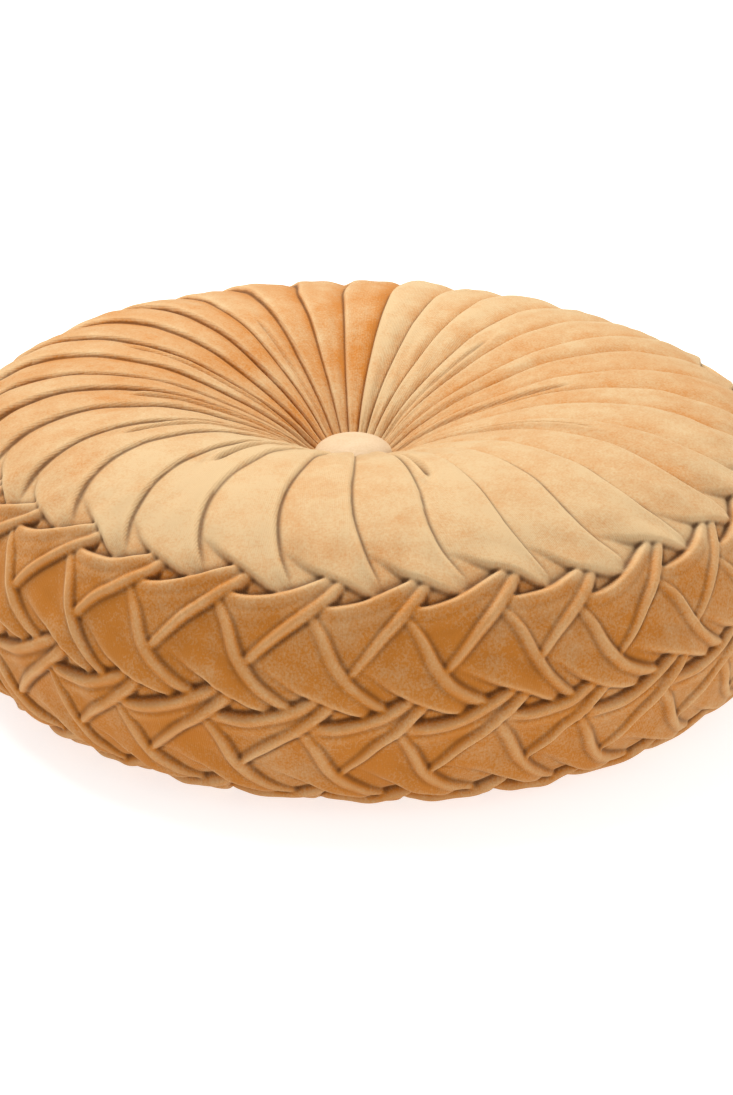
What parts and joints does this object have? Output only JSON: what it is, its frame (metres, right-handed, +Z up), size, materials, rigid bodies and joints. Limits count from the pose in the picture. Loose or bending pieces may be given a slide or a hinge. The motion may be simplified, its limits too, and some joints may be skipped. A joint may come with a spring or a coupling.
{
  "type": "round pleated pillow",
  "caption": "Round filled floor pillow in pleated velvet, with smocked sides and a covered button sunk in the middle of each face.",
  "frame": {"origin": "centre of the bounding box's bottom face, on the surface that the pillow rests on", "axes": "+Z up through both buttons, -Y towards the camera of the picture, +X to the right"},
  "size_m": [0.4038, 0.4042, 0.1215],
  "materials": {
    "velvet": "golden tan velvet with a soft uneven nap, paler on the folds",
    "button_velvet": "the same velvet stretched smooth over a round button"
  },
  "bodies": {
    "root": {"cover": "velvet", "top_button": "button_velvet", "under_button": "button_velvet"}
  },
  "joints": []
}
